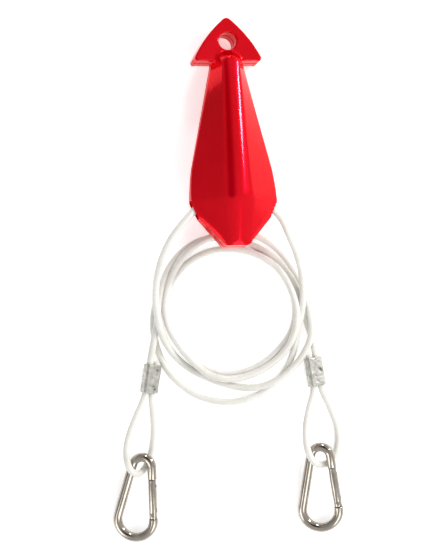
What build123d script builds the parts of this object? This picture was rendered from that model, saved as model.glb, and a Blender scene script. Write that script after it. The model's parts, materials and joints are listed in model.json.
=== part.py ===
"""Boat tow harness: a buoyant two-shell float with a tow hole and a self-centring sheave inside, a coated
wire rope that runs through it, and a snap hook crimped to each end of the rope.

Millimetres, +Z up from the table that the harness lies on, +Y towards the float's arrow-shaped head. The
origin is under the middle of the float's box, on the table. Float pieces are modelled level in the float's
own frame and then laid down by float_place; hook pieces are modelled in the hook's own frame and laid down
by hook_place.
"""
from build123d import *
from functools import cache
import math
import os

# ---- Float, in its own frame: X across, Y towards the tip, Z through its thickness ----
FLOAT_LENGTH = 198.0
TIP_Y = FLOAT_LENGTH / 2
TAIL_Y = -FLOAT_LENGTH / 2
HEAD_HALF_THICK = 11.0
TIP_RADIUS = 4.5
TIP_TURN = 50.0
BARB_X = 29.0
BARB_Y = TIP_Y - 35.5
BARB_RADIUS = 3.6
HEAD_SIDE_MIDDLE = (18.6, TIP_Y - 17.6)
NECK_X = 13.6
NECK_Y = TIP_Y - 38.0
WALL_STRAIGHT_END = (35.2, TIP_Y - 130.0)
WALL_ABOVE_SHOULDER = (37.2, TIP_Y - 146.0)
SHOULDER_X = 37.8
SHOULDER_Y = TIP_Y - 158.0
WALL_BELOW_SHOULDER = (36.8, TIP_Y - 166.0)
TAPER_START = (33.4, TIP_Y - 172.0)
TAPER_END = (13.4, TIP_Y - 193.8)
TAIL_CORNER = (11.0, TIP_Y - 196.8)
TAIL_HALF_WIDTH = 6.8
TOW_HOLE_RADIUS = 7.75
TOW_HOLE_Y = TIP_Y - 20.6

# Roof of the float at three stations along it: y, the crest's half width, the height of its edge, its rise
# above that edge, and the point at the wall that the sloping panel passes through
NECK_STATION = (NECK_Y, 7.2, 19.5, 1.0, NECK_X, 5.0)
SHOULDER_STATION = (SHOULDER_Y, 12.0, 21.5, 2.6, SHOULDER_X, 5.0)
TAIL_STATION = (TAIL_Y, 9.5, 10.0, 1.8, 22.0, 3.0)
PANEL_REACH = 1.4
ARCH_SHARE = 0.55
ARCH_FULLNESS = 0.75
NOSE_Y = TIP_Y - 29.0
NOSE_RADIUS = 14.0
NOSE_STEEPNESS = 1.3

WALL = 3.0
PANEL_INSET_SHARE = 0.5
SEAM_GAP = 0.1

# Sheave set, inside the float
CABLE_DIAMETER = 6.0
CABLE_RADIUS = CABLE_DIAMETER / 2
SHEAVE_PITCH_RADIUS = 14.0
SHEAVE_RADIUS = 17.5
SHEAVE_THICK = 9.0
GROOVE_CLEARANCE = 0.25
AXLE_RADIUS = 3.0
BUSH_RADIUS = 4.5
RUNNING_CLEARANCE = 0.05
WASHER_RADIUS = 7.0
WASHER_THICK = 1.0
AXLE_BOSS_RADIUS = 7.0
EXIT_REACH = 36.5
EXIT_ANGLE = 45.0
EXIT_BELOW_SHOULDER = 10.0
SLOT_WIDTH = 15.0
SLOT_HEIGHT = 7.6
SLOT_DEPTH = 30.0
CHAMBER_TOP_Y = -27.0
CAVITY_BELOW_NECK = 8.0
FOAM_GAP = 0.3
AXLE_END_DEPTH = 7.5

# Shell screws, driven from the underside
SCREW_POINTS = [(17.0, 66.5), (-17.0, 66.5), (11.0, 18.0), (-11.0, 18.0),
                (24.0, -36.0), (-24.0, -36.0), (0.0, -88.0)]
SCREW_RADIUS = 1.75
SCREW_HEAD_RADIUS = 3.2
SCREW_HEAD_HEIGHT = 2.0
SCREW_SEAT_Z = -5.0
SCREW_END_Z = 8.0
SCREW_BOSS_RADIUS = 4.6
DRIVE_RADIUS = 1.3

# How the float lies: crest rolled to the right, tail lifted by the coil under it
FLOAT_ROLL = 13.0
FLOAT_PITCH = 6.0
FLOAT_YAW = 3.0

# ---- Snap hook, in its own frame: X across, Y towards the small end, Z through its plane ----
HOOK_LENGTH = 80.0
HOOK_WIRE = 8.0
HOOK_SMALL_RADIUS = 8.6
HOOK_BIG_RADIUS = 16.0
HOOK_TILT = 7.5
HOOK_ROLL = -9.0
TABLE_GAP = 0.02
HOOK_MIDDLES = {"left": (-82.5, -316.2), "right": (76.4, -307.5)}
HOOK_LEANS = {"left": 7.3, "right": -0.7}
NOSE_RUN = 10.7
PIVOT_ABOVE_BEND = 5.0
GATE_DIAMETER = 7.4
GATE_END_GAP = 0.5
TONGUE_THICK = 3.0
TONGUE_HALF_WIDTH = 3.3
TONGUE_LENGTH = 4.8
GATE_SLOT = 3.5
NOSE_SLOT_DEPTH = 6.5
PIVOT_SLOT_REACH = 5.6
PIVOT_RADIUS = 1.5
PIVOT_REACH = 3.9
LATCH_PIN_RADIUS = 1.1
LATCH_PIN_DEPTH = 3.0
NOTCH_CLEARANCE = 0.3
GATE_BORE_RADIUS = 1.7
GATE_BORE_LENGTH = 10.0
PLUNGER_RADIUS = 1.6
PLUNGER_LENGTH = 4.0
SPRING_RADIUS = 1.2
SPRING_WIRE = 0.5
SPRING_TURNS = 5

# ---- Ferrules ----
FERRULE_LENGTH = 25.0
FERRULE_WIDTH = 15.0
FERRULE_THICK = 9.4
FERRULE_CORNER = 2.6
PASSAGE_OFFSET = 3.1
PASSAGE_CLEARANCE = 0.05
FERRULE_MIDDLES = {"left": (-71.7, -212.8, 8.4), "right": (71.6, -206.6, 7.2)}
FERRULE_LEANS = {"left": -8.0, "right": 9.5}
FERRULE_ROLLS = {"left": 37.0, "right": 20.0}

# ---- Rope routes: points chosen along each stretch, from the float outwards ----
LEFT_ARM = [
    (-52.3, -89.4, 43), (-60.8, -106.4, 35.5), (-65.8, -123.4, 26), (-67.4, -139.4, 18.5),
    (-66.4, -153.4, 15.2),
]
RIGHT_ARM = [
    (48.2, -87.9, 25.5), (54.7, -102.4, 21), (59.5, -118.4, 16.5), (61.2, -134.4, 13.2),
    (60.7, -148.4, 11.3),
]
LEFT_TAIL = [(-65.6, -158.4, 9.1), (-67.7, -173.4, 9.4)]
RIGHT_TAIL = [(63.2, -158.4, 3.6), (67.4, -171.4, 4.2)]
LEFT_EYE = [
    (-85.8, -248.4, 13), (-92.3, -267.4, 17.5), (-92.6, -280.4, 20.5), (-89.8, -290.6, 21.2),
    (-83.4, -296, 17), (-77.8, -293.2, 8.6), (-73.6, -284.9, 4.6), (-70.3, -274.4, 3.4),
    (-68.8, -259.4, 3.3), (-69.8, -243.4, 4.8),
]
RIGHT_EYE = [
    (85.7, -239.4, 4.8), (91.8, -255.4, 3.6), (92.5, -268.4, 3.2), (90, -279.4, 3.4), (84.2, -286.6, 4.4),
    (77, -288.2, 11), (70.4, -284.8, 19.2), (65.4, -277.4, 21.6), (63, -266.4, 19.8),
    (63.2, -252.4, 15.5), (66.6, -236.9, 10.5),
]
ARM_STRAIGHT = 8.0
TAIL_STRAIGHT = 10.0
EYE_STRAIGHT = 3.5
DEAD_END_STICKS_OUT = 3.0

# ---- Coil of the rope under the float's tail, as one ring ----
COIL_MIDDLE = (-0.8, -159.9)
COIL_OUTER = (69.0, 76.5)
COIL_HOLE_MIDDLE = (-1.2, -153.9)
COIL_HOLE_RADIUS = 52.5
COIL_HEIGHT = 16.0

os.makedirs("parts", exist_ok=True)


def cylinder(radius, bottom, top, x=0.0, y=0.0):
    """A round bar along Z from bottom to top."""
    return Pos(x, y, bottom) * Cylinder(radius, top - bottom, align=(Align.CENTER, Align.CENTER, Align.MIN))


def block(low, high):
    """A box from its low corner to its high corner."""
    size = [high[i] - low[i] for i in range(3)]
    return Pos(*low) * Box(*size, align=(Align.MIN, Align.MIN, Align.MIN))


# ---------------------------------------------------------------- float shells

def mirrored_face(right):
    """A face from the edges of its right half and their mirror image."""
    left = [edge.mirror(Plane.YZ) for edge in right]
    return make_face(right + left)


def head_edges():
    """The arrow-shaped head's right half, from its tip down to the tail of the barb and in to the axis."""
    turn = math.radians(TIP_TURN)
    tip_side = (TIP_RADIUS * math.sin(turn), TIP_Y - TIP_RADIUS * (1 - math.cos(turn)))
    tip_middle = (TIP_RADIUS * math.sin(turn / 2), TIP_Y - TIP_RADIUS * (1 - math.cos(turn / 2)))
    barb_out = (BARB_X, BARB_Y + BARB_RADIUS * 0.4)
    barb_corner = (BARB_X - 0.2, BARB_Y - BARB_RADIUS * 0.5)
    barb_under = (BARB_X - BARB_RADIUS, NECK_Y + 0.3)
    return [
        ThreePointArc((0, TIP_Y), tip_middle, tip_side),
        ThreePointArc(tip_side, HEAD_SIDE_MIDDLE, barb_out),
        ThreePointArc(barb_out, barb_corner, barb_under),
        Line(barb_under, (NECK_X - 2, NECK_Y)),
        Line((NECK_X - 2, NECK_Y), (0, NECK_Y)),
    ]


def body_edges(inset):
    """The body's right half from the nose of its crest to the tail, with its wall moved in by inset."""
    def moved_in(x, y, up_share=0.0):
        return (x - inset, y + up_share * inset)

    straight_end = moved_in(*WALL_STRAIGHT_END)
    shoulder = moved_in(SHOULDER_X, SHOULDER_Y)
    taper_start, taper_end = moved_in(*TAPER_START, 0.5), moved_in(*TAPER_END, 0.5)
    tail_in = moved_in(TAIL_HALF_WIDTH, TAIL_Y, 1.0)
    neck = moved_in(NECK_X, NECK_Y)
    return [
        Line((0, NOSE_Y), (neck[0], NOSE_Y)),
        Line((neck[0], NOSE_Y), neck),
        Line(neck, straight_end),
        ThreePointArc(straight_end, moved_in(*WALL_ABOVE_SHOULDER), shoulder),
        ThreePointArc(shoulder, moved_in(*WALL_BELOW_SHOULDER, 0.2), taper_start),
        Line(taper_start, taper_end),
        ThreePointArc(taper_end, moved_in(*TAIL_CORNER, 0.7), tail_in),
        Line(tail_in, (0, tail_in[1])),
    ]


def station_at(y, start, end):
    """The roof's station at y, on the straight line between two stations or beyond them."""
    share = (y - start[0]) / (end[0] - start[0])
    return [a + share * (b - a) for a, b in zip(start, end)]


def roof_section(station, inset):
    """The roof's section across the float: a low arched crest with a sloping panel each side of it."""
    y, crest_x, crest_z, rise, wall_x, wall_z = station
    inward, top_z = inset * PANEL_INSET_SHARE, crest_z + rise - inset
    edge = (crest_x - inward, crest_z - inset)
    arch = (edge[0] * ARCH_SHARE, edge[1] + rise * ARCH_FULLNESS)
    rim_x = edge[0] + PANEL_REACH * (wall_x - crest_x)
    rim_z = edge[1] - PANEL_REACH * (crest_z - wall_z)
    floor_z = -30.0
    right = [
        ThreePointArc((0, top_z), arch, edge),
        Line(edge, (rim_x, rim_z)),
        Line((rim_x, rim_z), (rim_x, floor_z)),
        Line((rim_x, floor_z), (0, floor_z)),
    ]
    left = [edge.mirror(Plane.YZ) for edge in right]
    return Plane(origin=(0, y, 0), x_dir=(1, 0, 0), z_dir=(0, -1, 0)) * make_face(right + left)


def roof(inset):
    """Everything under the roof, in two runs that meet at the shoulder."""
    front = station_at(NOSE_Y + 2, NECK_STATION, SHOULDER_STATION)
    back = station_at(TAIL_Y - 2, SHOULDER_STATION, TAIL_STATION)
    sections = [roof_section(station, inset) for station in (front, SHOULDER_STATION, back)]
    return loft(sections[:2], ruled=True) + loft(sections[1:], ruled=True)


def body_half(inset):
    """The upper half of the float's body, solid, with its walls moved in by inset."""
    half = extrude(mirrored_face(body_edges(inset)), 40.0) & roof(inset)
    head_z, nose_middle_y = HEAD_HALF_THICK - inset, NOSE_Y - NOSE_RADIUS
    nose = Cone(NOSE_RADIUS, 0, NOSE_RADIUS * NOSE_STEEPNESS, align=(Align.CENTER, Align.CENTER, Align.MIN))
    behind_nose = block((-60, TAIL_Y - 10, -1), (60, nose_middle_y, 60))
    in_head = block((-60, TAIL_Y - 10, -1), (60, NOSE_Y + 10, head_z))
    return half & (behind_nose + in_head + Pos(0, nose_middle_y, head_z) * nose)


def head_half():
    """The upper half of the arrow-shaped head, with its top edges rounded."""
    return extrude(mirrored_face(head_edges()), HEAD_HALF_THICK)


def sheave_centre():
    """Where the sheave's axis is, so that the rope leaves each shoulder along EXIT_ANGLE."""
    exit_x, exit_y = cable_exit(1)
    apex_y = exit_y + exit_x * math.tan(math.radians(EXIT_ANGLE))
    return (0.0, apex_y - SHEAVE_PITCH_RADIUS / math.cos(math.radians(EXIT_ANGLE)))


def cable_tangent(side):
    """Where the rope leaves the sheave on that side."""
    x, y = sheave_centre()
    turn = math.radians(EXIT_ANGLE)
    return (x + side * SHEAVE_PITCH_RADIUS * math.sin(turn), y + SHEAVE_PITCH_RADIUS * math.cos(turn))


def cable_exit(side):
    """Where the rope leaves the float's wall on that side, in the float's frame."""
    return (side * EXIT_REACH, SHOULDER_Y - EXIT_BELOW_SHOULDER)


def slot_cutter(side):
    """The opening in the wall that the rope leaves by."""
    x, y = cable_exit(side)
    bar = Box(SLOT_DEPTH, SLOT_WIDTH, SLOT_HEIGHT)
    return Pos(x, y, 0) * Rot(0, 0, -side * EXIT_ANGLE) * bar


def solid_half():
    """Head and body of the upper half, with the tow hole through the head."""
    return (body_half(0.0) + head_half()) - cylinder(TOW_HOLE_RADIUS, -1, 40, 0, TOW_HOLE_Y)


def cavity():
    """The room inside a half shell: the body only, as the head is solid."""
    room = body_half(WALL)
    return room & block((-50, TAIL_Y, -1), (50, NECK_Y - CAVITY_BELOW_NECK, 40))


def shell_half(room):
    """A half shell with its bosses, above its seam, before it is turned over for the lower one."""
    centre_x, centre_y = sheave_centre()
    shell = solid_half() - room
    bosses = cylinder(AXLE_BOSS_RADIUS, SHEAVE_THICK / 2 + WASHER_THICK, 40, centre_x, centre_y)
    for x, y in SCREW_POINTS:
        bosses += cylinder(SCREW_BOSS_RADIUS, 0, 40, x, y)
    shell += bosses & room
    axle_end = SHEAVE_THICK / 2 + WASHER_THICK + AXLE_END_DEPTH
    shell -= cylinder(AXLE_RADIUS, -1, axle_end + 0.5, centre_x, centre_y)
    for side in (1, -1):
        shell -= slot_cutter(side)
    return shell & block((-60, -120, SEAM_GAP / 2), (60, 120, 40))


def float_upper_shell(room):
    shell = shell_half(room)
    for x, y in SCREW_POINTS:
        shell -= cylinder(SCREW_RADIUS, -1, SCREW_END_Z + 0.5, x, y)
    return shell


def float_lower_shell(room):
    shell = shell_half(room).mirror(Plane.XY)
    for x, y in SCREW_POINTS:
        shell -= cylinder(SCREW_RADIUS + 0.2, SCREW_SEAT_Z - 1, 1, x, y)
        shell -= cylinder(SCREW_HEAD_RADIUS + 0.3, -40, SCREW_SEAT_Z, x, y)
    return shell


def foam_core(room, side):
    """Closed-cell foam that fills a half shell from the neck to the sheave's room."""
    core = room & block((-50, CHAMBER_TOP_Y, FOAM_GAP), (50, NECK_Y - CAVITY_BELOW_NECK - FOAM_GAP, 40))
    for x, y in SCREW_POINTS:
        core -= cylinder(SCREW_BOSS_RADIUS + FOAM_GAP, -1, 40, x, y)
    return core if side > 0 else core.mirror(Plane.XY)


def shell_screws():
    """Seven screws, as one group of separate solids."""
    screws = []
    for x, y in SCREW_POINTS:
        head = cylinder(SCREW_HEAD_RADIUS, SCREW_SEAT_Z - SCREW_HEAD_HEIGHT, SCREW_SEAT_Z, x, y)
        head -= cylinder(DRIVE_RADIUS, SCREW_SEAT_Z - SCREW_HEAD_HEIGHT - 1, SCREW_SEAT_Z - 0.8, x, y)
        shank = cylinder(SCREW_RADIUS - RUNNING_CLEARANCE, SCREW_SEAT_Z, SCREW_END_Z, x, y)
        screws.append(head + shank)
    return Compound(screws)


# ---------------------------------------------------------------- sheave set

def sheave():
    """The grooved wheel that the rope runs over."""
    x, y = sheave_centre()
    wheel = cylinder(SHEAVE_RADIUS, -SHEAVE_THICK / 2, SHEAVE_THICK / 2, x, y)
    groove = Torus(SHEAVE_PITCH_RADIUS, CABLE_RADIUS + GROOVE_CLEARANCE)
    mouth = revolve(
        Plane.XZ * Pos(SHEAVE_PITCH_RADIUS + 3, 0) * Rectangle(6, 2 * (CABLE_RADIUS + GROOVE_CLEARANCE)),
        Axis.Z,
    )
    wheel -= Pos(x, y, 0) * (groove + mouth)
    return wheel - cylinder(BUSH_RADIUS, -20, 20, x, y)


def sheave_bush():
    x, y = sheave_centre()
    bush = cylinder(BUSH_RADIUS, -SHEAVE_THICK / 2, SHEAVE_THICK / 2, x, y)
    return bush - cylinder(AXLE_RADIUS + RUNNING_CLEARANCE, -20, 20, x, y)


def sheave_axle():
    x, y = sheave_centre()
    reach = SHEAVE_THICK / 2 + WASHER_THICK + AXLE_END_DEPTH
    return cylinder(AXLE_RADIUS, -reach, reach, x, y)


def axle_washers():
    x, y = sheave_centre()
    start = SHEAVE_THICK / 2 + 0.15
    washers = []
    for side in (1, -1):
        ring = cylinder(WASHER_RADIUS, start, SHEAVE_THICK / 2 + WASHER_THICK - 0.05, x, y)
        ring -= cylinder(AXLE_RADIUS + RUNNING_CLEARANCE, -20, 20, x, y)
        washers.append(ring if side > 0 else ring.mirror(Plane.XY))
    return Compound(washers)


def cable_in_float():
    """The rope from one shoulder, over the sheave and out of the other shoulder."""
    x, y = sheave_centre()
    left, right = cable_tangent(-1), cable_tangent(1)
    top = (x, y + SHEAVE_PITCH_RADIUS)
    path = Line(cable_exit(-1), left) + ThreePointArc(left, top, right) + Line(right, cable_exit(1))
    start = Vector(*cable_exit(-1))
    heading = Vector(*left) - start
    return sweep(Plane(origin=start, z_dir=heading) * Circle(CABLE_RADIUS), path=path)


# ---------------------------------------------------------------- snap hooks

def hook_arcs():
    """The small and the big arc's centres, and the angle that the legs lean by."""
    small_y = HOOK_LENGTH / 2 - HOOK_WIRE / 2 - HOOK_SMALL_RADIUS
    big_y = -HOOK_LENGTH / 2 + HOOK_WIRE / 2 + HOOK_BIG_RADIUS
    lean = math.asin((HOOK_BIG_RADIUS - HOOK_SMALL_RADIUS) / (small_y - big_y))
    return small_y, big_y, lean


def leg_start(side=1):
    """Where the small arc ends and the straight leg starts, on that side."""
    small_y, _, lean = hook_arcs()
    return (side * HOOK_SMALL_RADIUS * math.cos(lean), small_y + HOOK_SMALL_RADIUS * math.sin(lean))


def leg_end(side=1):
    """Where the straight leg ends and the big arc starts, on that side."""
    _, big_y, lean = hook_arcs()
    return (side * HOOK_BIG_RADIUS * math.cos(lean), big_y + HOOK_BIG_RADIUS * math.sin(lean))


def leg_place():
    """The gate's frame: its origin at the right leg's start, with -Y down the leg."""
    _, _, lean = hook_arcs()
    return Pos(*leg_start(), 0) * Rot(0, 0, math.degrees(lean))


def leg_length():
    return math.dist(leg_start(), leg_end())


def pivot_y():
    """The gate's pivot, in the gate's frame."""
    return PIVOT_ABOVE_BEND - leg_length()


def hook_body():
    """The bent bar, with a flat tongue at the nose and one that the gate turns on."""
    small_y, big_y, lean = hook_arcs()
    down = Vector(math.sin(lean), -math.cos(lean))
    nose = Vector(*leg_start()) + down * NOSE_RUN
    heel = Vector(*leg_start()) + down * (PIVOT_ABOVE_BEND / 2 - pivot_y() + GATE_DIAMETER / 4)
    path = (
        Line(nose, leg_start())
        + ThreePointArc(leg_start(), (0, small_y + HOOK_SMALL_RADIUS), leg_start(-1))
        + Line(leg_start(-1), leg_end(-1))
        + ThreePointArc(leg_end(-1), (0, big_y - HOOK_BIG_RADIUS), leg_end())
        + Line(leg_end(), heel)
    )
    bar = sweep(Plane(origin=nose, z_dir=-down) * Circle(HOOK_WIRE / 2), path=path)
    half = TONGUE_THICK / 2
    nose_end = -NOSE_RUN - TONGUE_LENGTH
    nose_tongue = block((-TONGUE_HALF_WIDTH, nose_end, -half), (TONGUE_HALF_WIDTH, -NOSE_RUN + 1, half))
    notch_half = LATCH_PIN_RADIUS + NOTCH_CLEARANCE
    pin_y = -NOSE_RUN - LATCH_PIN_DEPTH
    nose_tongue -= block((-10, pin_y - notch_half, -10), (0, pin_y + notch_half, 10))
    nose_tongue -= cylinder(notch_half, -10, 10, 0, pin_y)
    heel_tongue = block((-TONGUE_HALF_WIDTH, -leg_length(), -half), (TONGUE_HALF_WIDTH, pivot_y(), half))
    heel_tongue += cylinder(TONGUE_HALF_WIDTH, -half, half, 0, pivot_y())
    heel_tongue -= cylinder(PIVOT_RADIUS + RUNNING_CLEARANCE, -10, 10, 0, pivot_y())
    return bar + leg_place() * (nose_tongue + heel_tongue)


def gate():
    """The round gate: slotted at both ends, and bored for its spring at the pivot end."""
    top, pivot = -NOSE_RUN - GATE_END_GAP, pivot_y()
    radius = GATE_DIAMETER / 2
    bar = gate_rod(radius, pivot, top)
    round_end = Pos(0, pivot, 0) * Rot(90, 0, 0) * Cylinder(radius, 2 * GATE_DIAMETER)
    bar += cylinder(radius, -radius, radius, 0, pivot) & round_end
    half = GATE_SLOT / 2
    bar -= block((-10, top - NOSE_SLOT_DEPTH, -half), (10, top + 1, half))
    bar -= block((-10, pivot - 10, -half), (10, pivot + PIVOT_SLOT_REACH, half))
    bar -= gate_rod(GATE_BORE_RADIUS, pivot, pivot + PIVOT_SLOT_REACH + GATE_BORE_LENGTH)
    bar -= cylinder(PIVOT_RADIUS, -10, 10, 0, pivot)
    bar -= cylinder(LATCH_PIN_RADIUS, -10, 10, 0, -NOSE_RUN - LATCH_PIN_DEPTH)
    return leg_place() * bar


def gate_rod(radius, low_y, high_y):
    """A round bar along the gate, in the gate's frame."""
    bar = Cylinder(radius, high_y - low_y, align=(Align.CENTER, Align.CENTER, Align.MAX))
    return Pos(0, low_y, 0) * Rot(90, 0, 0) * bar


def gate_rivet():
    return leg_place() * cylinder(PIVOT_RADIUS, -PIVOT_REACH, PIVOT_REACH, 0, pivot_y())


def latch_pin():
    reach = GATE_DIAMETER / 2 - 0.1
    return leg_place() * cylinder(LATCH_PIN_RADIUS, -reach, reach, 0, -NOSE_RUN - LATCH_PIN_DEPTH)


def gate_plunger():
    """The pin that the spring pushes against the hook body's heel tongue."""
    start = pivot_y() + TONGUE_HALF_WIDTH + 0.3
    return leg_place() * gate_rod(PLUNGER_RADIUS, start, start + PLUNGER_LENGTH)


def gate_spring():
    """The spring behind the plunger."""
    start = pivot_y() + TONGUE_HALF_WIDTH + 0.3 + PLUNGER_LENGTH + SPRING_WIRE
    room = pivot_y() + PIVOT_SLOT_REACH + GATE_BORE_LENGTH - SPRING_WIRE - start
    line = Helix(pitch=room / SPRING_TURNS, height=room, radius=SPRING_RADIUS)
    section = Plane(origin=line @ 0, z_dir=line % 0) * Circle(SPRING_WIRE / 2)
    coil = sweep(section, path=line, is_frenet=True)
    return leg_place() * Pos(0, start, 0) * Rot(-90, 0, 0) * coil


def hook_place(side):
    """Where a hook lies: its big end on the table, its small end held up by the rope's eye."""
    x, y = HOOK_MIDDLES[side]
    tilt = Rot(0, 0, -HOOK_LEANS[side]) * Rot(HOOK_TILT, 0, 0) * Rot(0, HOOK_ROLL, 0)
    lowest = (tilt * hook_body()).bounding_box().min.Z
    return Pos(x, y, TABLE_GAP - lowest) * tilt


# ---------------------------------------------------------------- rope and ferrules

def ferrule_place(side):
    return Pos(*FERRULE_MIDDLES[side]) * Rot(0, 0, FERRULE_LEANS[side]) * Rot(0, FERRULE_ROLLS[side], 0)


def ferrule(side):
    """An oval sleeve, pressed to a block, that holds the rope to its own end."""
    section = RectangleRounded(FERRULE_WIDTH, FERRULE_THICK, FERRULE_CORNER)
    passage_width = 2 * (PASSAGE_OFFSET + CABLE_RADIUS + PASSAGE_CLEARANCE)
    section -= SlotOverall(passage_width, CABLE_DIAMETER + 2 * PASSAGE_CLEARANCE)
    sleeve = extrude(section, FERRULE_LENGTH / 2, both=True)
    return ferrule_place(side) * Rot(90, 0, 0) * sleeve


def ferrule_point(side, across, along):
    """A point in the ferrule's frame, as a point of the whole harness."""
    return (ferrule_place(side) * Pos(across, along, 0)).position


def live_side(side):
    """Which passage the rope comes in by: the outer one of each ferrule."""
    return -PASSAGE_OFFSET if side == "left" else PASSAGE_OFFSET


def rope(name, points):
    """A round tube along the points, each corner as large an arc as its two runs allow."""
    points = [Vector(*p) if isinstance(p, tuple) else p for p in points]
    radii = []
    for before, here, after in zip(points, points[1:], points[2:]):
        inward, outward = here - before, after - here
        turn = math.radians(inward.get_angle(outward))
        radii.append(0.45 * min(inward.length, outward.length) / math.tan(turn / 2))
    path = FilletPolyline(*points, radius=radii)
    tube = sweep(Plane(origin=points[0], z_dir=points[1] - points[0]) * Circle(CABLE_RADIUS), path=path)
    whole = math.pi * CABLE_RADIUS**2 * path.length
    print(name, "length", round(path.length, 1), "radii", [round(r, 1) for r in radii])
    print(name, "volume over section times length", round(tube.volume / whole, 4))
    return tube


def cable_eye(side):
    """The eye: through the ferrule, round the hook and back through the ferrule to the cut end."""
    half = FERRULE_LENGTH / 2
    live, dead = live_side(side), -live_side(side)
    points = [
        ferrule_point(side, live, half),
        ferrule_point(side, live, -half - EYE_STRAIGHT),
        *(LEFT_EYE if side == "left" else RIGHT_EYE),
        ferrule_point(side, dead, -half - EYE_STRAIGHT),
        ferrule_point(side, dead, half + DEAD_END_STICKS_OUT),
    ]
    return rope(f"cable_{side}_eye", points)


def cable_tail(side):
    """The rope from the coil to the ferrule."""
    half = FERRULE_LENGTH / 2
    points = [
        *(LEFT_TAIL if side == "left" else RIGHT_TAIL),
        ferrule_point(side, live_side(side), half + TAIL_STRAIGHT),
        ferrule_point(side, live_side(side), half),
    ]
    return rope(f"cable_{side}_tail", points)


def cable_arm(side):
    """The rope from the float's shoulder down to the coil."""
    sign = -1 if side == "left" else 1
    x, y = cable_exit(sign)
    step = ARM_STRAIGHT * math.sqrt(0.5)
    start = (float_place() * Pos(x, y, 0)).position
    straight = (float_place() * Pos(x + sign * step, y - step, 0)).position
    points = LEFT_ARM if side == "left" else RIGHT_ARM
    return rope(f"cable_{side}_arm", [start, straight, *points])


def cable_coil():
    """The loose coil of about four turns, as one ring of its outer shape."""
    ring = Pos(*COIL_MIDDLE) * Ellipse(*COIL_OUTER) - Pos(*COIL_HOLE_MIDDLE) * Circle(COIL_HOLE_RADIUS)
    return extrude(ring, COIL_HEIGHT)


# ---------------------------------------------------------------- assembly

def float_tilt():
    return Rot(0, 0, FLOAT_YAW) * Rot(-FLOAT_PITCH, 0, 0) * Rot(0, FLOAT_ROLL, 0)


@cache
def float_place():
    """The tilt, and the shift that brings the float's box over the origin and onto the table."""
    halves = solid_half()
    box = (float_tilt() * Compound([halves, halves.mirror(Plane.XY)])).bounding_box()
    shift = Pos(-box.center().X, -box.center().Y, -box.min.Z)
    return shift * float_tilt()


def write(name, shape):
    export_step(shape, f"parts/{name}.step")


def main():
    lay_float = float_place()
    print("float laid at", lay_float.position)
    print("rope leaves the float at", (lay_float * Pos(*cable_exit(-1), 0)).position,
          (lay_float * Pos(*cable_exit(1), 0)).position)
    print("sheave axis at", (lay_float * Pos(*sheave_centre(), 0)).position)
    print("tow hole at", (lay_float * Pos(0, TOW_HOLE_Y, 0)).position)
    print("float's own Z is", (lay_float * Pos(0, 0, 1)).position - lay_float.position)
    room = cavity()
    float_pieces = {
        "float_upper_shell": float_upper_shell(room),
        "float_lower_shell": float_lower_shell(room),
        "foam_core_upper": foam_core(room, 1),
        "foam_core_lower": foam_core(room, -1),
        "shell_screws": shell_screws(),
        "sheave": sheave(),
        "sheave_bush": sheave_bush(),
        "sheave_axle": sheave_axle(),
        "axle_washers": axle_washers(),
        "cable_in_float": cable_in_float(),
    }
    for name, piece in float_pieces.items():
        write(name, lay_float * piece)
    hook_pieces = {
        "hook_body": hook_body(),
        "gate": gate(),
        "gate_rivet": gate_rivet(),
        "latch_pin": latch_pin(),
        "gate_plunger": gate_plunger(),
        "gate_spring": gate_spring(),
    }
    for side in ("left", "right"):
        lay_hook = hook_place(side)
        print(side, "gate pivot at", (lay_hook * leg_place() * Pos(0, pivot_y(), 0)).position)
        print(side, "hook's own X and Z are", (lay_hook * Pos(1, 0, 0)).position - lay_hook.position,
              (lay_hook * Pos(0, 0, 1)).position - lay_hook.position)
        for name, piece in hook_pieces.items():
            write(f"{side}_{name}", lay_hook * piece)
        write(f"ferrule_{side}", ferrule(side))
        write(f"cable_{side}_arm", cable_arm(side))
        write(f"cable_{side}_tail", cable_tail(side))
        write(f"cable_{side}_eye", cable_eye(side))
    write("cable_coil", cable_coil())


main()
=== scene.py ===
"""Looks of the boat tow harness: glossy red float, coated wire rope in a loose coil, crimped ferrules and
polished snap hooks, on a pale table, seen from straight above. Metres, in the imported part's own frame.
"""
import json
import math

import bmesh
import bpy
from mathutils import Matrix, Vector


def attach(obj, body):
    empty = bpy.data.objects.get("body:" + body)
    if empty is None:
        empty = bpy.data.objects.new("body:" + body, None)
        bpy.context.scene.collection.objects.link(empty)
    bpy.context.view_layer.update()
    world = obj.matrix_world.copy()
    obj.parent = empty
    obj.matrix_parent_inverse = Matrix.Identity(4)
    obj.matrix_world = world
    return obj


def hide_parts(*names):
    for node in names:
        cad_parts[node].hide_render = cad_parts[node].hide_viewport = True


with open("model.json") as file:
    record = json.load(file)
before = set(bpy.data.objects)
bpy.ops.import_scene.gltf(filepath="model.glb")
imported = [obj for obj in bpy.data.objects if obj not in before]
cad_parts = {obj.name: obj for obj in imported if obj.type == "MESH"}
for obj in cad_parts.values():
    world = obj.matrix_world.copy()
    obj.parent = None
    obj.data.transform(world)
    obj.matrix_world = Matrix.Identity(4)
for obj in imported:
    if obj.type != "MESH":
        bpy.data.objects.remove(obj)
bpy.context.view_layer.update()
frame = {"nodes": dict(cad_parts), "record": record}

MM = 0.001

# ---- Camera: overhead, looking straight down with +Y up ----
CAMERA_AIM = (-10, -125.3)
CAMERA_HEIGHT = 1388.0
VIEW_ANGLE = 20.0
SENSOR_WIDTH = 36.0

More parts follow.
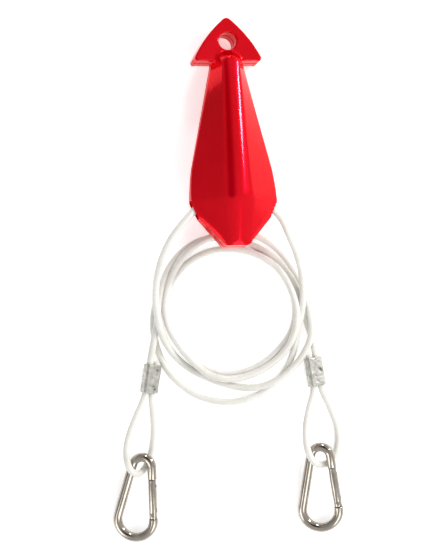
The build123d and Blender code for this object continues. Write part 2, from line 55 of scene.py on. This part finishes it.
# ---- Rope, in millimetres: the same route points as the CAD source ----
ROPE_RADIUS = 3.0
ROPE_STEPS = 8
ROPE_ROUNDNESS = 6
EXIT_STRAIGHT = {"left": [(-35.06, -69.44, 42.32), (-40.27, -75.21, 44.18)],
                 "right": [(36.07, -67.43, 25.99), (41.87, -72.89, 25.31)]}
ARM = {"left": [(-52.3, -89.4, 43), (-60.8, -106.4, 35.5), (-65.8, -123.4, 26), (-67.4, -139.4, 18.5),
                (-66.4, -153.4, 15.2)],
       "right": [(48.2, -87.9, 25.5), (54.7, -102.4, 21), (59.5, -118.4, 16.5), (61.2, -134.4, 13.2),
                 (60.7, -148.4, 11.3)]}
TAIL = {"left": [(-65.6, -158.4, 9.1), (-67.7, -173.4, 9.4)],
        "right": [(63.2, -158.4, 3.6), (67.4, -171.4, 4.2)]}
EYE = {"left": [(-85.8, -248.4, 13), (-92.3, -267.4, 17.5), (-92.6, -280.4, 20.5), (-89.8, -290.6, 21.2),
                (-83.4, -296, 17), (-77.8, -293.2, 8.6), (-73.6, -284.9, 4.6), (-70.3, -274.4, 3.4),
                (-68.8, -259.4, 3.3), (-69.8, -243.4, 4.8)],
       "right": [(85.7, -239.4, 4.8), (91.8, -255.4, 3.6), (92.5, -268.4, 3.2), (90, -279.4, 3.4),
                 (84.2, -286.6, 4.4), (77, -288.2, 11), (70.4, -284.8, 19.2), (65.4, -277.4, 21.6),
                 (63, -266.4, 19.8), (63.2, -252.4, 15.5), (66.6, -236.9, 10.5)]}
FERRULE_MIDDLE = {"left": (-71.7, -212.8, 8.4), "right": (71.6, -206.6, 7.2)}
FERRULE_LEAN = {"left": -8.0, "right": 9.5}
FERRULE_ROLL = {"left": 37.0, "right": 20.0}
FERRULE_HALF = 12.5
PASSAGE = {"left": -3.1, "right": 3.1}
TAIL_STRAIGHT = 10.0
EYE_STRAIGHT = 3.5
DEAD_END_STICKS_OUT = 3.0

# ---- Float shells: mesh cell in millimetres, and rounds of smoothing that round their edges ----
SHELL_VOXEL = 0.6
SHELL_SOFTENING = 8

# The roof alone is smoothed further: faces turned up this much, fading in over ROOF_FADE behind the neck
ROOF_SOFTENING = 130
ROOF_FACING = (0.6, 0.8)
ROOF_FADE = 14.0
NECK_LINE = 60.0
FLOAT_UP = (0.22, -0.1, 0.97)

# ---- Ferrules and hooks: lengths in millimetres, the angle in degrees ----
WELD_DISTANCE = 0.002
FERRULE_VOXEL = 0.35
FERRULE_SOFTENING = 4
DENT_DEPTH = 0.35
DENT_SIZE = 3.0
DENT_LEVEL = 0.6
EDGE_ROUND = 0.3
EDGE_ANGLE = 38.0
EDGE_SEGMENTS = 3

# ---- Light ----
FLOOR_GLOW = 0.45
FLOOR_REACH = 4.0
FLOOR_BELOW = -0.0002
WORLD_STRENGTH = 0.85
BRIGHT_SIDE = (0.8, -0.5, 0.0)
SIDE_SPAN = (-0.9, 0.7)
DIM_SIDE_SHARE = 0.45
DARK_PATCH_AT = (0.0, 0.25, 0.97)
DARK_PATCH_REACH = (0.42, 0.62, 1.0)
DARK_PATCH_COLOUR = (0.04, 0.035, 0.03)
DARK_PATCH_CORE = 0.2

# Area lights: where they hang, their two sides and their power in watts. All aim at the part's middle.
AREA_LIGHTS = {
    "key": ((0.9, -1.5, 1.5), (1.2, 1.2), 12.0),
    "strip": ((1.5, 0.75, 1.0), (0.12, 0.6), 20.0),
    "fill": ((-1.3, -1.2, 1.0), (0.7, 1.2), 7.0),
    "nose": ((0.25, 1.7, 1.1), (0.25, 0.25), 9.0),
}

# ---- Coil: bearing in degrees from +X about its middle, radius and height, wherever a turn changes ----
COIL_MIDDLE = (-1.2, -153.9)
TURNS = {
    "left": [(192, 64.6, 14.6), (204, 64.2, 10.5), (216, 63.7, 6.2), (229, 63.1, 3.6), (243, 62.4, 3.1),
             (257, 62.9, 3.1), (270, 66.0, 3.1), (284, 69.8, 4.5), (296, 72.0, 7.6), (307, 73.2, 9.3),
             (320, 73.3, 9.3), (331, 73.6, 10.2), (340, 74.0, 10.9), (349, 72.2, 10.0), (358, 69.0, 7.5),
             (368, 66.3, 3.6), (380, 65.0, 3.1), (406, 66.9, 3.1), (420, 69.0, 3.1), (432, 69.9, 3.8),
             (446, 69.8, 8.0), (460, 68.6, 13.0), (472, 66.6, 14.9), (484, 65.2, 14.8), (498, 62.6, 13.2),
             (512, 60.8, 10.5), (526, 59.6, 9.3), (540, 58.6, 9.2), (553, 57.0, 9.2), (566, 55.4, 9.2),
             (578, 54.9, 9.2), (590, 55.2, 9.1), (602, 57.6, 8.8), (614, 60.0, 8.4), (626, 60.0, 7.8),
             (640, 58.8, 7.2), (670, 58.0, 7.2), (683, 58.6, 7.8), (693, 58.9, 10.0), (703, 58.2, 13.0),
             (713, 57.6, 13.8), (723, 57.0, 13.4), (733, 56.0, 11.5), (744, 55.4, 10.4), (758, 55.9, 10.7),
             (772, 55.2, 9.9), (786, 54.3, 9.2), (800, 54.2, 8.0), (814, 55.0, 5.0), (828, 55.8, 3.4),
             (843, 56.9, 3.1), (873, 58.7, 3.1), (888, 58.0, 3.1), (903, 56.5, 3.1), (918, 54.9, 3.1),
             (950, 54.7, 3.1), (965, 56.0, 3.1), (980, 56.0, 3.1), (1010, 54.0, 3.1), (1040, 53.5, 3.1),
             (1055, 55.0, 3.1), (1068, 56.5, 3.1), (1080, 56.6, 3.1), (1110, 55.5, 3.1), (1126, 55.4, 3.1),
             (1142, 54.3, 3.1), (1154, 56.4, 4.5), (1165, 60.2, 7.5), (1176, 64.4, 9.1), (1188, 67.8, 9.2),
             (1201, 68.1, 9.2), (1213, 67.6, 9.2), (1222, 67.3, 9.2), (1238, 65.2, 9.2), (1251, 64.1, 9.2)],
    "right": [(-8, 60.3, 9.0), (-18, 60.4, 8.0), (-28, 63.0, 4.5), (-38, 67.2, 3.1), (-50, 71.5, 3.1),
              (-63, 75.3, 3.1), (-76, 78.6, 3.1), (-90, 80.3, 3.1), (-104, 80.9, 3.1), (-118, 80.0, 3.1),
              (-131, 78.1, 3.1), (-143, 75.6, 3.1), (-156, 72.8, 3.1), (-170, 70.4, 3.1), (-180, 68.2, 3.1),
              (-190, 66.4, 3.1), (-202, 65.2, 3.1), (-216, 66.2, 3.1), (-244, 68.0, 3.1), (-256, 67.4, 3.1),
              (-268, 65.0, 3.1), (-280, 61.8, 3.3), (-292, 60.4, 5.0), (-305, 59.9, 6.4), (-320, 59.8, 6.7),
              (-334, 60.3, 6.6), (-346, 61.3, 6.0), (-356, 62.5, 4.9)],
}
POINT_STEP = 14.0


def eased(keys, bearing):
    """Radius and height at a bearing, by a smooth curve through the keys."""
    steps = sorted(keys)
    i = max(k for k in range(len(steps) - 1) if steps[k][0] <= bearing + 1e-9)
    before, start = steps[max(i - 1, 0)], steps[i]
    end, after = steps[i + 1], steps[min(i + 2, len(steps) - 1)]
    share = (bearing - start[0]) / (end[0] - start[0])
    values = []
    for n in (1, 2):
        slope_in = (end[n] - before[n]) / (end[0] - before[0]) * (end[0] - start[0])
        slope_out = (after[n] - start[n]) / (after[0] - start[0]) * (end[0] - start[0])
        s2, s3 = share**2, share**3
        values.append((2 * s3 - 3 * s2 + 1) * start[n] + (s3 - 2 * s2 + share) * slope_in
                      + (3 * s2 - 2 * s3) * end[n] + (s3 - s2) * slope_out)
    return values


def turn_points(side):
    """The coil's turns, a point about every POINT_STEP degrees."""
    keys = TURNS[side]
    first, last = keys[0][0], keys[-1][0]
    count = round(abs(last - first) / POINT_STEP)
    points = []
    for n in range(count + 1):
        bearing = first + (last - first) * n / count
        radius, height = eased(keys, min(max(bearing, min(first, last)), max(first, last) - 1e-6))
        turn = math.radians(bearing)
        x = COIL_MIDDLE[0] + radius * math.cos(turn)
        y = COIL_MIDDLE[1] + radius * math.sin(turn)
        points.append((x, y, height))
    return points


def ferrule_frame(side):
    """A ferrule's own frame: X across it, Y along the rope towards the coil."""
    return (Matrix.Translation(Vector(FERRULE_MIDDLE[side]))
            @ Matrix.Rotation(math.radians(FERRULE_LEAN[side]), 4, "Z")
            @ Matrix.Rotation(math.radians(FERRULE_ROLL[side]), 4, "Y"))


def rope_route(side):
    """Every control point of one rope, from the float's shoulder to the cut end beyond the ferrule."""
    place = ferrule_frame(side)
    live, dead = PASSAGE[side], -PASSAGE[side]
    along_live = [FERRULE_HALF + TAIL_STRAIGHT, FERRULE_HALF, 0.0, -FERRULE_HALF - EYE_STRAIGHT]
    along_dead = [-FERRULE_HALF - EYE_STRAIGHT, 0.0, FERRULE_HALF + DEAD_END_STICKS_OUT]
    points = EXIT_STRAIGHT[side] + ARM[side] + turn_points(side) + TAIL[side]
    points += [place @ Vector((live, y, 0)) for y in along_live]
    points += EYE[side]
    points += [place @ Vector((dead, y, 0)) for y in along_dead]
    return [Vector(p) * MM for p in points]


def make_rope(side):
    curve = bpy.data.curves.new(f"rope_{side}", "CURVE")
    curve.dimensions = "3D"
    route = rope_route(side)
    spline = curve.splines.new("NURBS")
    spline.points.add(len(route) - 1)
    for point, place in zip(spline.points, route):
        point.co = (*place, 1.0)
        # Blender's bound box of a curve counts each point's radius, so that holds the rope's, not bevel_depth
        point.radius = ROPE_RADIUS * MM
    spline.order_u = 3
    spline.use_endpoint_u = True
    spline.resolution_u = ROPE_STEPS
    curve.bevel_depth = 1.0
    curve.bevel_resolution = ROPE_ROUNDNESS
    curve.use_fill_caps = True
    rope = bpy.data.objects.new(f"rope_{side}", curve)
    bpy.context.scene.collection.objects.link(rope)
    return rope


def make_camera():
    data = bpy.data.cameras.new("camera")
    data.sensor_width = SENSOR_WIDTH
    data.lens = data.sensor_width / 2 / math.tan(math.radians(VIEW_ANGLE / 2))
    data.clip_start = 0.1
    data.clip_end = 10.0
    camera = bpy.data.objects.new("camera", data)
    camera.location = (CAMERA_AIM[0] * MM, CAMERA_AIM[1] * MM, CAMERA_HEIGHT * MM)
    bpy.context.scene.collection.objects.link(camera)
    bpy.context.scene.camera = camera


make_camera()
ropes = {}
for side in ("left", "right"):
    rope = make_rope(side)
    ropes[side] = rope
    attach(rope, "float")
    stands_for = [f"cable_{side}_arm", f"cable_{side}_tail", f"cable_{side}_eye"]
    if side == "left":
        stands_for.append("cable_coil")
    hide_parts(*stands_for)


# ---------------------------------------------------------------- materials

def new_material(name, colour, metallic, roughness):
    """A node material and its shader, with the numbers that are the same all over set on the shader."""
    material = bpy.data.materials.new(name)
    material.use_nodes = True
    shader = material.node_tree.nodes["Principled BSDF"]
    shader.inputs["Base Color"].default_value = (*colour, 1.0)
    shader.inputs["Metallic"].default_value = metallic
    shader.inputs["Roughness"].default_value = roughness
    return material, shader


def add_node(material, kind, **settings):
    node = material.node_tree.nodes.new(kind)
    for name, value in settings.items():
        setattr(node, name, value)
    return node


def noise(material, scale, detail=4.0, stretch=(1.0, 1.0, 1.0)):
    """Noise in the object's own coordinates. Returns its factor socket."""
    place = add_node(material, "ShaderNodeTexCoord")
    mapping = add_node(material, "ShaderNodeMapping")
    mapping.inputs["Scale"].default_value = stretch
    texture = add_node(material, "ShaderNodeTexNoise")
    texture.inputs["Scale"].default_value = scale
    texture.inputs["Detail"].default_value = detail
    links = material.node_tree.links
    links.new(place.outputs["Object"], mapping.inputs["Vector"])
    links.new(mapping.outputs["Vector"], texture.inputs["Vector"])
    return texture.outputs["Fac"]


def ramp(material, source, stops):
    """A colour ramp over a factor. Stops are (position, colour)."""
    node = add_node(material, "ShaderNodeValToRGB")
    elements = node.color_ramp.elements
    while len(elements) < len(stops):
        elements.new(0.5)
    for element, (position, colour) in zip(elements, stops):
        element.position = position
        element.color = (*colour, 1.0)
    material.node_tree.links.new(source, node.inputs["Fac"])
    return node.outputs["Color"]


def spread(material, source, low, high):
    """The factor mapped to the range low to high."""
    node = add_node(material, "ShaderNodeMapRange")
    node.inputs["From Min"].default_value = 0.3
    node.inputs["From Max"].default_value = 0.7
    node.inputs["To Min"].default_value = low
    node.inputs["To Max"].default_value = high
    material.node_tree.links.new(source, node.inputs["Value"])
    return node.outputs["Result"]


def add_bump(material, shader, source, strength, distance):
    node = add_node(material, "ShaderNodeBump")
    node.inputs["Strength"].default_value = strength
    node.inputs["Distance"].default_value = distance
    material.node_tree.links.new(source, node.inputs["Height"])
    material.node_tree.links.new(node.outputs["Normal"], shader.inputs["Normal"])


def red_plastic():
    """Gloss moulded plastic: a deep red with its own warm sheen, faint flow marks and fine scuffs."""
    material, shader = new_material("red_plastic", (0.7, 0.0, 0.02), 0.58, 0.2)
    links = material.node_tree.links
    colour = ramp(material, noise(material, 28.0), [(0.3, (0.66, 0.0, 0.006)), (0.7, (0.74, 0.001, 0.011))])
    links.new(colour, shader.inputs["Base Color"])
    links.new(spread(material, noise(material, 160.0, 6.0), 0.11, 0.18), shader.inputs["Roughness"])
    add_bump(material, shader, noise(material, 420.0, 3.0), 0.05, 0.0003)
    shader.inputs["IOR"].default_value = 1.28
    shader.inputs["Specular Tint"].default_value = (1.0, 0.08, 0.12, 1.0)
    shader.inputs["Coat Weight"].default_value = 0.3
    shader.inputs["Coat Roughness"].default_value = 0.05
    shader.inputs["Coat IOR"].default_value = 1.4
    return material


def coated_rope():
    """Smooth white vinyl over wire: slightly warm, with soft light inside and faint handling marks."""
    material, shader = new_material("coated_rope", (0.86, 0.85, 0.81), 0.0, 0.3)
    links = material.node_tree.links
    stops = [(0.25, (0.7, 0.69, 0.63)), (0.55, (0.79, 0.775, 0.73)), (0.8, (0.81, 0.79, 0.76))]
    links.new(ramp(material, noise(material, 55.0, 5.0), stops), shader.inputs["Base Color"])
    links.new(spread(material, noise(material, 300.0, 4.0), 0.24, 0.38), shader.inputs["Roughness"])
    add_bump(material, shader, noise(material, 700.0, 3.0), 0.15, 0.0002)
    shader.inputs["Subsurface Weight"].default_value = 0.12
    shader.inputs["Subsurface Radius"].default_value = (0.003, 0.0028, 0.0022)
    return material


def pressed_aluminium():
    """Matt pressed aluminium: dull grey with die marks, small dents and brighter rubbed patches."""
    material, shader = new_material("pressed_aluminium", (0.62, 0.61, 0.58), 1.0, 0.42)
    links = material.node_tree.links
    stops = [(0.3, (0.14, 0.135, 0.12)), (0.36, (0.42, 0.41, 0.37)), (0.6, (0.57, 0.56, 0.52)),
             (0.75, (0.66, 0.65, 0.62))]
    links.new(ramp(material, noise(material, 240.0, 8.0), stops), shader.inputs["Base Color"])
    links.new(spread(material, noise(material, 500.0, 6.0), 0.32, 0.55), shader.inputs["Roughness"])
    add_bump(material, shader, noise(material, 380.0, 6.0), 0.3, 0.0003)
    return material


def polished_stainless():
    """Polished stainless steel: fine drawing marks along it and a little haze."""
    material, shader = new_material("polished_stainless", (0.4, 0.36, 0.31), 1.0, 0.1)
    links = material.node_tree.links
    colour = ramp(material, noise(material, 90.0, 5.0), [(0.3, (0.34, 0.3, 0.25)), (0.7, (0.46, 0.42, 0.37))])
    links.new(colour, shader.inputs["Base Color"])
    links.new(spread(material, noise(material, 350.0, 6.0), 0.07, 0.17), shader.inputs["Roughness"])
    add_bump(material, shader, noise(material, 600.0, 4.0, (1.0, 0.15, 1.0)), 0.08, 0.0002)
    return material


def machined_steel():
    """Dull machined steel, with turning marks."""
    material, shader = new_material("machined_steel", (0.55, 0.55, 0.55), 1.0, 0.35)
    links = material.node_tree.links
    links.new(spread(material, noise(material, 900.0, 4.0), 0.28, 0.45), shader.inputs["Roughness"])
    stops = [(0.3, (0.48, 0.48, 0.48)), (0.7, (0.62, 0.62, 0.62))]
    colour = ramp(material, noise(material, 300.0, 4.0), stops)
    links.new(colour, shader.inputs["Base Color"])
    add_bump(material, shader, noise(material, 1500.0, 3.0, (1.0, 1.0, 8.0)), 0.2, 0.0001)
    return material


def bronze():
    material, shader = new_material("bronze", (0.55, 0.36, 0.14), 1.0, 0.3)
    links = material.node_tree.links
    stops = [(0.3, (0.45, 0.28, 0.1)), (0.7, (0.62, 0.42, 0.18))]
    colour = ramp(material, noise(material, 250.0, 4.0), stops)
    links.new(colour, shader.inputs["Base Color"])
    links.new(spread(material, noise(material, 800.0, 4.0), 0.22, 0.42), shader.inputs["Roughness"])
    return material


def sheave_plastic():
    """Black acetal, lightly scuffed by the rope."""
    material, shader = new_material("sheave_plastic", (0.02, 0.02, 0.022), 0.0, 0.45)
    links = material.node_tree.links
    stops = [(0.35, (0.014, 0.014, 0.016)), (0.75, (0.05, 0.05, 0.052))]
    colour = ramp(material, noise(material, 200.0, 6.0), stops)
    links.new(colour, shader.inputs["Base Color"])
    links.new(spread(material, noise(material, 600.0, 5.0), 0.35, 0.6), shader.inputs["Roughness"])
    add_bump(material, shader, noise(material, 1200.0, 3.0), 0.2, 0.0001)
    return material


def closed_cell_foam():
    """Cream closed-cell foam, with its small cells in colour and relief."""
    material, shader = new_material("closed_cell_foam", (0.8, 0.76, 0.62), 0.0, 0.9)
    links = material.node_tree.links
    cells = add_node(material, "ShaderNodeTexVoronoi")
    place = add_node(material, "ShaderNodeTexCoord")
    cells.inputs["Scale"].default_value = 900.0
    links.new(place.outputs["Object"], cells.inputs["Vector"])
    colour = ramp(material, cells.outputs["Distance"], [(0.1, (0.7, 0.65, 0.5)), (0.6, (0.86, 0.82, 0.7))])
    links.new(colour, shader.inputs["Base Color"])
    add_bump(material, shader, cells.outputs["Distance"], 0.5, 0.0004)
    return material


def pale_floor():
    """A white light table."""
    material, shader = new_material("pale_floor", (0.9, 0.9, 0.9), 0.0, 0.6)
    stops = [(0.3, (0.895, 0.895, 0.895)), (0.7, (0.905, 0.905, 0.905))]
    colour = ramp(material, noise(material, 3.0, 2.0), stops)
    material.node_tree.links.new(colour, shader.inputs["Base Color"])
    shader.inputs["Emission Color"].default_value = (1.0, 1.0, 1.0, 1.0)
    shader.inputs["Emission Strength"].default_value = FLOOR_GLOW
    return material


def paint(obj, material):
    """Every face of the object takes this material."""
    obj.data.materials.clear()
    obj.data.materials.append(material)


MATERIALS = {
    "red_plastic": red_plastic(),
    "coated_rope": coated_rope(),
    "ferrule_alloy": pressed_aluminium(),
    "stainless": polished_stainless(),
    "stainless_dull": machined_steel(),
    "bronze": bronze(),
    "sheave_plastic": sheave_plastic(),
    "foam": closed_cell_foam(),
}


def paint_cad_nodes():
    """Each CAD node gets its record slot's material."""
    for row in frame["record"]["subparts"]:
        paint(frame["nodes"][row["node"]], MATERIALS[row["material_slot"]])


# ---------------------------------------------------------------- float shells

def welded_copy(node, name):
    """A new piece with the CAD node's mesh, its split edges joined again."""
    copy = bpy.data.objects.new(name, frame["nodes"][node].data.copy())
    bpy.context.scene.collection.objects.link(copy)
    shape = bmesh.new()
    shape.from_mesh(copy.data)
    bmesh.ops.remove_doubles(shape, verts=shape.verts, dist=WELD_DISTANCE * MM)
    shape.to_mesh(copy.data)
    shape.free()
    return copy


def with_modifiers_applied(piece):
    """The piece's mesh becomes what its modifiers make of it."""
    bpy.context.view_layer.update()
    made = bpy.data.meshes.new_from_object(piece.evaluated_get(bpy.context.evaluated_depsgraph_get()))
    piece.modifiers.clear()
    piece.data = made
    for face in piece.data.polygons:
        face.use_smooth = True
    return piece


def blend_roof(piece):
    """The roof's planes run into each other softly; the head plate, the sides and the inside stay crisp."""
    group = piece.vertex_groups.new(name="roof")
    up = Vector(FLOAT_UP).normalized()
    for vertex in piece.data.vertices:
        facing = (vertex.normal.dot(up) - ROOF_FACING[0]) / (ROOF_FACING[1] - ROOF_FACING[0])
        behind_neck = (NECK_LINE - vertex.co.y / MM) / ROOF_FADE
        weight = min(max(facing, 0.0), 1.0) * min(max(behind_neck, 0.0), 1.0)
        if weight > 0:
            group.add([vertex.index], weight, "REPLACE")
    soften = piece.modifiers.new("blend", "SMOOTH")
    soften.factor = 0.5
    soften.iterations = ROOF_SOFTENING
    soften.vertex_group = "roof"
    with_modifiers_applied(piece)


def moulded_shell(node, name):
    """A float shell with every edge rounded, as it comes out of its mould."""
    piece = welded_copy(node, name)
    remesh = piece.modifiers.new("even", "REMESH")
    remesh.mode = "VOXEL"
    remesh.voxel_size = SHELL_VOXEL * MM
    soften = piece.modifiers.new("soften", "SMOOTH")
    soften.factor = 0.5
    soften.iterations = SHELL_SOFTENING
    with_modifiers_applied(piece)
    blend_roof(piece)
    paint(piece, MATERIALS["red_plastic"])
    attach(piece, "float")
    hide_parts(node)
    return piece


# ---------------------------------------------------------------- ferrules and hooks

def soften_hooks():
    """The hooks' and gates' sharp edges catch the light on a small round."""
    for side in ("left", "right"):
        for name in ("hook_body", "gate", "gate_rivet", "latch_pin"):
            piece = frame["nodes"][f"{side}_{name}"]
            weld = piece.modifiers.new("weld", "WELD")
            weld.merge_threshold = WELD_DISTANCE * MM
            bevel = piece.modifiers.new("round", "BEVEL")
            bevel.limit_method = "ANGLE"
            bevel.angle_limit = math.radians(EDGE_ANGLE)
            bevel.width = EDGE_ROUND * MM
            bevel.segments = EDGE_SEGMENTS


def dent_ferrules():
    """Pressed metal: rounded edges and the shallow dents the press leaves."""
    dents = bpy.data.textures.new("dents", "CLOUDS")
    dents.noise_scale = DENT_SIZE * MM
    dents.noise_depth = 1
    for side in ("left", "right"):
        piece = frame["nodes"][f"ferrule_{side}"]
        weld = piece.modifiers.new("weld", "WELD")
        weld.merge_threshold = WELD_DISTANCE * MM
        remesh = piece.modifiers.new("even", "REMESH")
        remesh.mode = "VOXEL"
        remesh.voxel_size = FERRULE_VOXEL * MM
        remesh.use_smooth_shade = True
        soften = piece.modifiers.new("soften", "SMOOTH")
        soften.factor = 0.5
        soften.iterations = FERRULE_SOFTENING
        dent = piece.modifiers.new("dents", "DISPLACE")
        dent.texture = dents
        dent.texture_coords = "GLOBAL"
        dent.strength = DENT_DEPTH * MM
        dent.mid_level = DENT_LEVEL


# ---------------------------------------------------------------- stage and light

def add_area_light(name, place, size, power):
    data = bpy.data.lights.new(name, "AREA")
    data.shape = "RECTANGLE"
    data.size, data.size_y = size
    data.energy = power
    light = bpy.data.objects.new(name, data)
    light.location = place
    aim = Vector((0.0, CAMERA_AIM[1] * MM, 0.0)) - Vector(place)
    light.rotation_mode = "QUATERNION"
    light.rotation_quaternion = aim.to_track_quat("-Z", "Y")
    bpy.context.scene.collection.objects.link(light)


def make_stage():
    plane = bpy.data.meshes.new("floor")
    reach = FLOOR_REACH
    corners = [(-reach, -reach, 0), (reach, -reach, 0), (reach, reach, 0), (-reach, reach, 0)]
    plane.from_pydata(corners, [], [(0, 1, 2, 3)])
    floor = bpy.data.objects.new("floor", plane)
    floor.location.z = FLOOR_BELOW
    bpy.context.scene.collection.objects.link(floor)
    paint(floor, pale_floor())


def make_world():
    """A white studio, dimmer on one side, with a soft dark patch overhead where the camera hangs."""
    world = bpy.data.worlds.new("studio")
    bpy.context.scene.world = world
    world.use_nodes = True
    nodes, links = world.node_tree.nodes, world.node_tree.links
    place = nodes.new("ShaderNodeTexCoord")
    mapping = nodes.new("ShaderNodeMapping")
    mapping.vector_type = "TEXTURE"
    mapping.inputs["Location"].default_value = DARK_PATCH_AT
    mapping.inputs["Scale"].default_value = DARK_PATCH_REACH
    far = nodes.new("ShaderNodeVectorMath")
    far.operation = "LENGTH"
    shade = nodes.new("ShaderNodeValToRGB")
    shade.color_ramp.interpolation = "EASE"
    shade.color_ramp.elements[0].position = DARK_PATCH_CORE
    shade.color_ramp.elements[0].color = (*DARK_PATCH_COLOUR, 1.0)
    shade.color_ramp.elements[1].position = 1.0
    shade.color_ramp.elements[1].color = (1.0, 1.0, 1.0, 1.0)
    links.new(place.outputs["Generated"], mapping.inputs["Vector"])
    links.new(mapping.outputs["Vector"], far.inputs[0])
    links.new(far.outputs["Value"], shade.inputs["Fac"])
    side = nodes.new("ShaderNodeVectorMath")
    side.operation = "DOT_PRODUCT"
    side.inputs[1].default_value = BRIGHT_SIDE
    level = nodes.new("ShaderNodeMapRange")
    level.inputs["From Min"].default_value = SIDE_SPAN[0]
    level.inputs["From Max"].default_value = SIDE_SPAN[1]
    level.inputs["To Min"].default_value = DIM_SIDE_SHARE
    level.inputs["To Max"].default_value = 1.0
    both = nodes.new("ShaderNodeVectorMath")
    both.operation = "MULTIPLY"
    links.new(place.outputs["Generated"], side.inputs[0])
    links.new(side.outputs["Value"], level.inputs["Value"])
    links.new(shade.outputs["Color"], both.inputs[0])
    links.new(level.outputs["Result"], both.inputs[1])
    links.new(both.outputs["Vector"], nodes["Background"].inputs["Color"])
    nodes["Background"].inputs["Strength"].default_value = WORLD_STRENGTH


bpy.context.scene.view_settings.view_transform = "Standard"
make_world()
make_stage()
for light_name, (light_place, light_size, light_power) in AREA_LIGHTS.items():
    add_area_light(light_name, light_place, light_size, light_power)
paint_cad_nodes()
for rope in ropes.values():
    paint(rope, MATERIALS["coated_rope"])
moulded_shell("float_upper_shell", "float_upper")
moulded_shell("float_lower_shell", "float_lower")
soften_hooks()
dent_ferrules()
